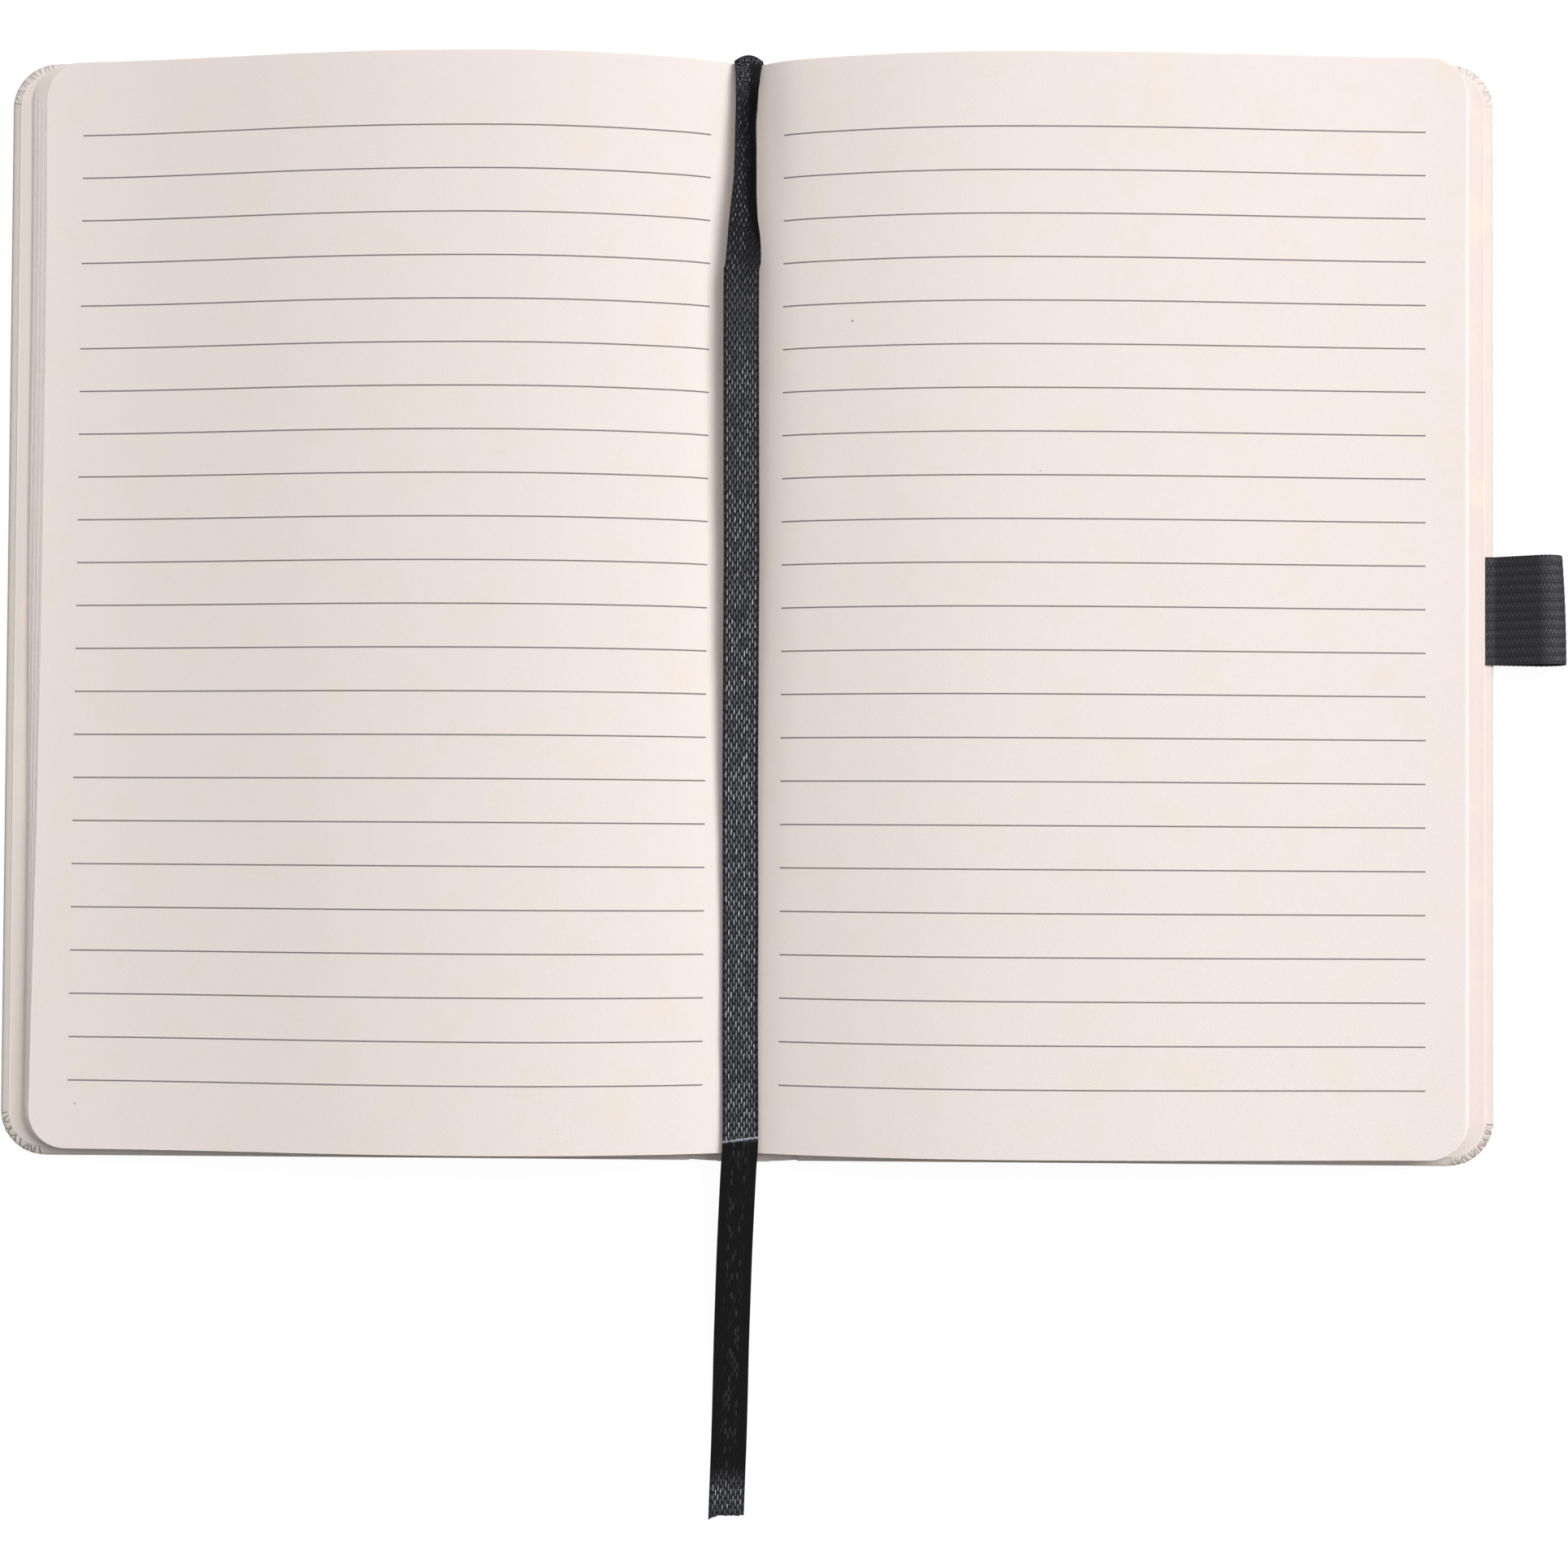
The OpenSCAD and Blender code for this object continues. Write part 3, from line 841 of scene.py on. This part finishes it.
def loopLine(s):
    low, high = millimetres("pen_loop")
    half = s["thickness"] / 2
    centre = Vector((high[0] - (high[2] - low[2]) / 2, (high[2] + low[2]) / 2))
    radius = (high[2] - low[2]) / 2 - half - s["rise"]
    edge = clothHigh[0] + s["clear"]
    topExit = Vector((edge, s["tabTop"] - half))
    lowExit = Vector((edge, s["tabTop"] - 3 * half - s["apart"]))

    def touch(point, turn):
        away = point - centre
        return math.atan2(away.y, away.x) + turn * math.acos(radius / away.length)

    first, last = touch(topExit, -1), touch(lowExit, 1)
    if last > first:
        last -= math.tau
    turns = [between(first, last, i / s["turns"]) for i in range(s["turns"] + 1)]
    points = [Vector((pasteHigh[0] - s["clear"], topExit.y)), topExit]
    points += [centre + radius * Vector((math.cos(a), math.sin(a))) for a in turns]
    points += [lowExit, Vector((low[0] + s["tuck"], lowExit.y))]
    line, gone = [], 0.0
    for p, q in zip(points, points[1:]):
        count = max(1, round((q - p).length / s["step"]))
        line += [(gone + (q - p).length * i / count, p.lerp(q, i / count)) for i in range(count)]
        gone += (q - p).length
    return line + [(gone, points[-1])]


def makePenLoop(s):
    low, high = millimetres("pen_loop")
    line = loopLine(s)
    bm, places, columns, rows = gridOf(s["rows"] * s["perRow"], len(line) - 1)
    pitch = s["width"] / s["rows"]
    rim = s["rim"]
    for vert, column, row in places:
        gone, spot = line[row]
        run = (line[min(rows - 1, row + 1)][1] - line[max(0, row - 1)][1]).normalized()
        out = Vector((-run.y, run.x))
        share = column / (columns - 1)
        across = share * s["width"]
        rise = s["rise"] * math.sin(math.pi * across / pitch) ** 2
        stood = eased((spot.x - clothHigh[0]) / (high[0] - clothHigh[0]))
        spot = spot + out * rise * min(1.0, stood * s["riseSoon"])
        wave = 0.0
        if abs(share - 0.5) > rim["share"]:
            wave = rim["height"] * math.sin(gone * math.tau / rim["length"])
        vert.co = Vector((spot.x - s["lean"] * stood * share ** 2,
                          low[1] + across + wave, spot.y))
        layAlong(bm, vert, across, gone)
    material = elasticFinish("elastic", elasticSet, pitch)
    piece = madePiece("penLoop", bm, [material])
    thickened(piece, s["thickness"], 0.0)
    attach(piece, "back_cover")
    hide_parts("pen_loop")
    line[-1][0] * millimetre
    print("pen loop:", round(line[-1][0], 1), "mm of elastic")


makePenLoop(loopSet)

# Leaves

leafSet = {
    "gutterX": 0.2,
    "gutterZ": 3.6,
    "peakDistance": 49.0,
    "peak": {left: 13.3, right: 12.4},
    # how much lower the leaves lie beside the ribbon, along y
    "dip": {left: [(-103, 0.5), (-60, 0.8), (-10, 2.6), (15, 3.0), (60, 2.4), (103, 1.2)],
            right: [(-103, 0.4), (-60, 0.5), (10, 1.6), (103, 1.9)]},
    "dipReach": {left: 6.8, right: 5.0},
    "foreTop": {left: 4.59, right: 7.95},
    "count": {left: 15, right: 46},
    "creep": {left: 1.4, right: 0.0},
    # how much further out the lowest and the top leaf reach, along y
    "turned": {left: ([(-103, -1.05), (-40, -0.7), (6, -0.15), (68, -0.3), (103, 0.0)],
                      [(-103, 1.4), (-86, 1.3), (-40, 0.7), (6, 0.45), (68, 0.35), (103, 0.7)]),
               right: ([(-103, 0.0), (103, 0.0)],
                       [(-103, 0.3), (68, 0.3), (103, 0.6)])},
    "risePower": 0.8,
    "fallPower": 1.15,
    "deepest": 0.6,  # how much of a stack's height the dip can take
    "rootGap": 0.02,  # off the spine's lining, and over which a leaf leaves it
    "rootBend": 1.6,
    "width": 136.0,
    "mostTaken": 2.6,  # reach that the arch can take from a leaf
    "corner": 7.0,
    "thickness": 0.085,
    "jitter": 0.09,
    "turnedOver": 45.0,
    # how much higher the fore-edge of the top leaf lies, along y
    "foreLift": {left: [(-103, 1.6), (-40, 0.7), (20, 0.1), (103, 0.0)],
                 right: [(-103, 0.0), (103, 0.0)]},
    # columns of points by the gutter, over the arch and, in degrees, round the corner
    "gutterColumns": (0, 0.3, 0.6, 1.0, 1.6, 2.4, 3.4, 4.8, 6.5, 8.5, 11),
    "archGap": 3,
    "archColumns": 22,
    "cornerColumns": range(9, 91, 9),
    "rows": 10,
    "topRows": 30,
    "cutRows": (0.25, 0.6),  # two more rows close to each end, for the painted highlight along the cut edge
    "cutWidth": 0.25,
    "seed": 4,
}
leafBack = liningHigh[2]
leafLevel = flyHigh[2]
leafHeight = blockHigh[1] - blockLow[1]
climbIn = liningHigh[0]
climbOut = boardLow[0] - 0.2  # leaves are clear of the joint from here on


def restHeight(x):  # underside of the leaves at a distance from the spine's middle
    return keyed(abs(x), [(climbIn, leafBack), (climbOut, leafLevel)])


def topHeight(d, side, s):  # top leaf at a distance from the gutter
    peak, fore = s["peak"][side], s["foreTop"][side]
    if d < s["peakDistance"]:
        rise = math.sin(math.pi / 2 * max(0.0, d) / s["peakDistance"]) ** s["risePower"]
        return between(s["gutterZ"], peak, rise)
    share = min(1.0, (d - s["peakDistance"]) / (s["width"] - s["peakDistance"]))
    return between(fore, peak, (1 + math.cos(math.pi * share ** s["fallPower"])) / 2)


def leafRoot(side, level, s):
    return (1 - level) * (climbIn - side * s["gutterX"])


def leafHeightAt(d, side, level, s, y=0.0):
    low = restHeight(s["gutterX"] + side * d)
    root = leafRoot(side, level, s)
    top = topHeight(d, side, s)
    dip = keyed(y, s["dip"][side]) * math.exp(-(d / s["dipReach"][side]) ** 2)
    height = low + level * (top - min(dip, s["deepest"] * (top - low)) - low)
    return between(leafBack + s["rootGap"], height, eased((d - root) / s["rootBend"]))


def leafStations(side, level, s):
    root = leafRoot(side, level, s)
    taken = 0.0
    step = 1.0
    d = root
    while d < s["width"]:
        climb = leafHeightAt(d + step, side, level, s) - leafHeightAt(d, side, level, s)
        taken += math.hypot(step, climb) - step
        d += step
    taken = min(taken, s["mostTaken"])
    reach = s["width"] - taken + s["creep"][side] * (1 - level)
    near = [root + offset for offset in s["gutterColumns"]]
    arch = [between(near[-1] + s["archGap"], reach - s["corner"], i / s["archColumns"])
            for i in range(s["archColumns"] + 1)]
    corner = [reach - s["corner"] * (1 - math.sin(math.radians(a))) for a in s["cornerColumns"]]
    return near + arch + corner, reach


def makeLeaf(side, level, s, wander, rows):
    stations, reach = leafStations(side, level, s)
    ends = [0.0] + [width / leafHeight for width in s["cutRows"]]
    shares = ends + [i / rows for i in range(1, rows)] + [1 - share for share in reversed(ends)]
    bm, places, _, rowCount = gridOf(len(stations) - 1, len(shares) - 1, ["cutEdge"])
    cutEdge = bm.verts.layers.float["cutEdge"]
    shiftY, shiftD = [wander.uniform(-1, 1) * s["jitter"] for _ in range(2)]
    start = reach - s["corner"]
    for vert, column, row in places:
        d = stations[column]
        inset = 0.0
        if d > start:
            inset = s["corner"] - math.sqrt(max(0.0, s["corner"] ** 2 - (d - start) ** 2))
        half = leafHeight / 2 - inset
        vert.co.y = between(-half, half, shares[row]) + shiftY
        atEnd = row in (0, rowCount - 1)
        # painted highlight: full on the cut edge, fading over the highlight's width
        vert[cutEdge] = 1.0 if atEnd else eased(1.5 - (reach - d) / s["cutWidth"])
        lowest, highest = [keyed(vert.co.y, keys) for keys in s["turned"][side]]
        outer = eased((d - reach) / s["turnedOver"] + 1)
        out = d + shiftD * eased(d / reach) + between(lowest, highest, level) * outer
        vert.co.x = s["gutterX"] + side * out
        vert.co.z = leafHeightAt(d, side, level, s, vert.co.y)
        vert.co.z += keyed(vert.co.y, s["foreLift"][side]) * level * outer
    if side == left:
        bmesh.ops.reverse_faces(bm, faces=bm.faces)
    return bm


def makeTextBlock(s):
    wander = random.Random(s["seed"])
    whole = bmesh.new()
    for side in (left, right):
        count = s["count"][side]
        for i in range(count):
            top = i == count - 1
            rows = s["topRows"] if top else s["rows"]
            sheet = makeLeaf(side, (i + 1) / count, s, wander, rows)
            for face in sheet.faces:
                # the left stack's lower leaves take the copy with painted shade, the right stack's the plain
                # paper, the top leaves the ruled paper
                face.material_index = 2 if top else (side == right)
            scratch = bpy.data.meshes.new("leaf")
            sheet.to_mesh(scratch)
            sheet.free()
            whole.from_mesh(scratch)
            bpy.data.meshes.remove(scratch)
    materials = [paperFinish("shadedLeafPaper", leafPaperSet),
                 paperFinish("innerPaper", paperSet),
                 paperFinish("ruledPaper", paperSet, rulingSet)]
    piece = madePiece("textBlock", whole, materials)
    thickened(piece, s["thickness"])
    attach(piece, "root")
    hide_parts("text_block")
    print("text block:", s["count"][left], "and", s["count"][right], "leaves")


def makeFlyleaf(name, side, s, material):
    sheet = makeLeaf(side, 0.0, s, random.Random(s["seed"]), s["rows"])
    piece = madePiece(name + "Leaf", sheet, [material])
    thickened(piece, flyHigh[2] - flyLow[2])
    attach(piece, "root")
    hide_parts(name + "_flyleaf")


# the endpaper's painted highlight runs along this outline
pasteOutline = {"reach": pasteHigh[0], "middle": caseMiddle, "corner": 6.8,
                "half": (pasteHigh[1] - pasteLow[1]) / 2, "rim": (-0.4, -0.15)}
endpaperMaterial = paperFinish("endpaper", endpaperSet, outline=pasteOutline)
makeTextBlock(leafSet)
makeFlyleaf("front", left, leafSet, endpaperMaterial)
makeFlyleaf("back", right, leafSet, endpaperMaterial)

coverSet = {
    "cornerRadius": 8.5,
    "cornerSteps": 96,
    "turnIn": 15.0,
    "margin": 1.7,
    "slope": 0.5,  # how far the margin falls towards the edge
    "slopePower": 1.5,
    "edgeRound": 0.22,
    "sharp": 0.8,  # edges that turn more than this, in radians, are rounded
    "edgeBand": 0.1,
    "top": pasteHigh[2] - 0.15,  # the margin lies a little below the endpaper
    # rings of points across the turned-in margin, close enough together for the pleats
    "rings": [0.25, 0.25, 0.3, 0.35, 0.4, 0.5],
    "cuts": (0.6, 2.0),  # heights of further rows of points round the edge
    "pleatsAbove": 0.3,
    "pleatRise": 0.352,  # a pleat over the margin, and the valley under it
    "pleatSunk": 0.25,
    "pull": 0.16,  # the same at the cover's edge
    "pullSunk": 0.6,
    "creaseShadeAndDirtShare": 0.85,
    "fadeAngle": 6,
    "fadeReach": 0.5,
    "pressed": {-1: 1.0, 1: 0.4},  # how much of the pleats is left at the foot and the head
    "largeFace": 400.0,
    "seed": 11,
}
pleatSet = {
    "pleats": 9,
    "uneven": 0.28,
    "slant": 4,  # degrees for each millimetre inwards
    # every second crease is the point of a V
    "twinShare": 0.3,
    "twinAway": (1.0, 2.0),
    "twinSlant": 1.5,
    "twinLean": 0.8,
    "lifts": (0.5, 1.0),
    "humpWidth": 0.62,
    "lowSide": 0.45,
    "creaseWidth": 0.11,
}


def pleatMaker(s, wander):  # uneven creases round a quarter, each with its own slant
    step = 90 / s["pleats"]
    creases = [(i + 0.5 + wander.uniform(-s["uneven"], s["uneven"])) * step
               for i in range(s["pleats"])]
    slants = [wander.uniform(-s["slant"], s["slant"]) for _ in creases]
    for i in range(1, s["pleats"] - 1, 2):
        shift = wander.uniform(*s["twinAway"])
        creases.append(creases[i] + slants[i] * s["twinShare"] + shift)
        slants[i] = -abs(slants[i]) - s["twinSlant"]
        slants.append(abs(slants[i]) * s["twinLean"])
    lifts = [wander.uniform(*s["lifts"]) for _ in creases]

    def pleat(angle, inward):  # height share and crease darkness, partly dirt and partly painted shade
        lean = [c + slant * inward for c, slant in zip(creases, slants)]
        which = min(range(len(lean)), key=lambda i: abs(angle - lean[i]))
        away = abs(angle - lean[which])
        hump = math.sin(math.pi * min(1.0, away / (step * s["humpWidth"])))
        side = 1.0 if angle > lean[which] else s["lowSide"]
        return hump * side * lifts[which], eased(1.5 - away / (step * s["creaseWidth"]))

    return pleat


def coverBlank(s):  # half a case with two round corners, towards the right
    bm = bmesh.new()
    bmesh.ops.create_grid(bm, x_segments=1, y_segments=1, size=0.5)
    for vert in bm.verts:
        vert.co.x = clothHigh[0] if vert.co.x > 0 else jointOut
        vert.co.y = caseHalf if vert.co.y > 0 else -caseHalf
    corners = [v for v in bm.verts if v.co.x > jointOut + 1]
    rounded(bm, corners, s["cornerRadius"], s["cornerSteps"], "VERTICES")
    pulledOut(bm, bm.faces[:], (0, 0, s["top"]))
    bmesh.ops.recalc_face_normals(bm, faces=bm.faces)
    top = [f for f in bm.faces if f.normal.z > 0.9][0]
    for ring in s["rings"] + [s["turnIn"] - sum(s["rings"])]:
        bmesh.ops.inset_region(bm, faces=[top], thickness=ring, use_even_offset=True)
    for vert in top.verts:
        vert.co.z -= boardLow[2]
    for height in s["cuts"]:
        cutAcross(bm, (0, 0, height), (0, 0, 1))
    return bm


def pleatMargin(bm, s, wander):
    crease = bm.verts.layers.float.new("crease")
    radius, margin = s["cornerRadius"], s["margin"]
    quarters = {end: pleatMaker(pleatSet, wander) for end in (-1, 1)}
    for vert in bm.verts:
        x, y, z = vert.co
        end = 1 if y > 0 else -1
        dx = x - (clothHigh[0] - radius)
        dy = end * y - (caseHalf - radius)
        away = math.hypot(max(dx, 0), max(dy, 0)) + min(max(dx, dy), 0)
        inward = radius - away
        if z < s["pleatsAbove"] or inward > margin + s["edgeBand"]:
            continue
        onTop = z > s["top"] - hair
        if onTop:
            vert.co.z -= s["slope"] * max(0.0, 1 - inward / margin) ** s["slopePower"]
        if dx <= 0 or dy <= 0:
            continue
        angle = math.degrees(math.atan2(dy, dx))
        height, dark = quarters[end](angle, inward)
        fade = eased(min(angle, 90 - angle) / s["fadeAngle"])
        fade *= eased((margin - inward) / s["fadeReach"]) * s["pressed"][end]
        if onTop:
            vert.co.z += (height - s["pleatSunk"]) * s["pleatRise"] * fade
        if inward < s["edgeBand"]:
            pull = (height - s["pullSunk"]) * s["pull"] * fade * min(1.0, z / s["top"])
            vert.co.x += dx / away * pull
            vert.co.y += end * dy / away * pull
        # crease darkness for the cloth's colour: partly dirt, partly painted shade
        vert[crease] = dark * fade * s["creaseShadeAndDirtShare"]


def makeCoverSkin(name, side, body, node, s, material):
    wander = random.Random(s["seed"] + side)
    bm = coverBlank(s)
    pleatMargin(bm, s, wander)
    rim = [e for e in bm.edges if len(e.link_faces) == 2 and e.calc_face_angle(0) > s["sharp"]
           and min(v.co.x for v in e.verts) > jointOut + hair]
    rounded(bm, rim, s["edgeRound"])
    bmesh.ops.scale(bm, vec=(side, 1, 1), verts=bm.verts)
    bmesh.ops.translate(bm, vec=(0, caseMiddle, 0), verts=bm.verts)
    bmesh.ops.recalc_face_normals(bm, faces=bm.faces)
    piece = madePiece(name, bm, [material])
    for face in piece.data.polygons:  # the large flat faces shade flat
        face.use_smooth = face.area < s["largeFace"] * millimetre ** 2
    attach(piece, body)
    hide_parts(node)
    print(name, "made")


clothMaterial = clothFinish("coverCloth", clothSet)
makeCoverSkin("backSkin", right, "back_cover", "back_cloth", coverSet, clothMaterial)
makeCoverSkin("frontSkin", left, "front_cover", "front_cloth", coverSet, clothMaterial)

# Cloth and endpaper over the joints, which bend with the covers

jointSet = {
    "cloth": 0.34,
    "shift": -0.3,  # how far the spine's cloth has slipped towards the foot
    "groove": 0.3,
    "turnIn": 15.0,
    "rimRound": 0.16,
    "layerGap": 0.02,
    "columns": 16,
    "paper": 0.15,
    "paperParts": 4,  # columns from one point of the line to the next
    "paperRows": 8,
    # endpaper from the board down into the joint, as distance from the spine and height
    "paperLine": [(10.6, 2.79), (10.1, 2.7), (9.3, 2.25), (8.3, 1.85), (7.2, 1.6), (5.8, 1.52),
                  (4.3, 1.6)],
}


def hemmed(x0, x1, top, s):  # cloth along the spine with both ends turned in, open inwards
    thick = s["cloth"]
    end = caseHalf
    hem = end - s["turnIn"]
    outline = [(hem, top - thick), (end - thick, top - thick), (end - thick, thick)]
    outline += [(-y, z) for y, z in reversed(outline)]
    outline += [(-hem, top), (-end, top), (-end, 0), (end, 0), (end, top), (hem, top)]
    bm = bmesh.new()
    face = bm.faces.new([bm.verts.new((x0, y, z)) for y, z in outline])
    pulledOut(bm, [face], (x1 - x0, 0, 0))
    rims = [e for e in bm.edges if all(abs(v.co.y) > end - hair for v in e.verts)
            and abs(e.verts[0].co.x - e.verts[1].co.x) > hair]
    rounded(bm, rims, s["rimRound"])
    bmesh.ops.translate(bm, vec=(0, caseMiddle, 0), verts=bm.verts)
    bmesh.ops.recalc_face_normals(bm, faces=bm.faces)
    return bm


def makeSpineSkin(s, material):
    bm = hemmed(-jointIn, jointIn, stripHigh[2] + wrap, s)
    bmesh.ops.translate(bm, vec=(0, s["shift"], 0), verts=bm.verts)
    piece = madePiece("spineSkin", bm, [material], smooth=False)
    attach(piece, "root")
    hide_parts("spine_cloth")


def makeJointCloth(name, side, cover, s, material):
    bm = hemmed(jointIn, jointOut, 2 * s["cloth"] + s["layerGap"], s)
    for i in range(1, s["columns"]):
        cutAcross(bm, (between(jointIn, jointOut, i / s["columns"]), 0, 0), (1, 0, 0))
    for vert in bm.verts:
        share = (vert.co.x - jointIn) / (jointOut - jointIn)
        vert.co.z += s["groove"] * math.sin(math.pi * share) ** 2
        vert.co.y += s["shift"] * (1 - share)
    if side == left:
        bmesh.ops.scale(bm, vec=(-1, 1, 1), verts=bm.verts)
    bmesh.ops.recalc_face_normals(bm, faces=bm.faces)
    piece = madePiece(name, bm, [material], smooth=False)
    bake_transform(piece, "root", cover, start=(side * jointIn * millimetre, 0, 0),
             end=(side * jointOut * millimetre, 0, 0))


def makeJointPaper(name, side, cover, s, material):
    line = [Vector((x, z)) for x, z in s["paperLine"]]
    parts = s["paperParts"]
    bm, places, columns, rows = gridOf((len(line) - 1) * parts, s["paperRows"])
    for vert, column, row in places:
        i, part = divmod(column, parts)
        spot = line[-1] if i >= len(line) - 1 else line[i].lerp(line[i + 1], part / parts)
        vert.co = Vector((side * spot.x, between(pasteLow[1], pasteHigh[1], row / (rows - 1)),
                          spot.y))
    bmesh.ops.smooth_vert(bm, verts=[v for v, c, r in places if 0 < c < columns - 1],
                          factor=0.5, use_axis_x=True, use_axis_z=True)
    if side == right:
        bmesh.ops.reverse_faces(bm, faces=bm.faces)
    piece = madePiece(name, bm, [material])
    thickened(piece, s["paper"])
    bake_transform(piece, "root", cover, start=(side * line[-1].x * millimetre, 0, 0),
             end=(side * line[1].x * millimetre, 0, 0))


def finishNode(name, material):
    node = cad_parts[name]
    node.data.materials.clear()
    node.data.materials.append(material)


makeSpineSkin(jointSet, clothMaterial)
boardMaterial = hiddenFinish("greyBoard", greyBoardSet)
for side, cover in ((left, "front"), (right, "back")):
    makeJointCloth(cover + "JointCloth", side, cover + "_cover", jointSet, clothMaterial)
    makeJointPaper(cover + "JointPaper", side, cover + "_cover", jointSet, endpaperMaterial)
    finishNode(cover + "_pastedown", endpaperMaterial)
    finishNode(cover + "_board", boardMaterial)
finishNode("spine_strip", boardMaterial)
finishNode("spine_lining", hiddenFinish("gluedCloth", gluedClothSet))
print("joints bridged and carried-over pieces finished")
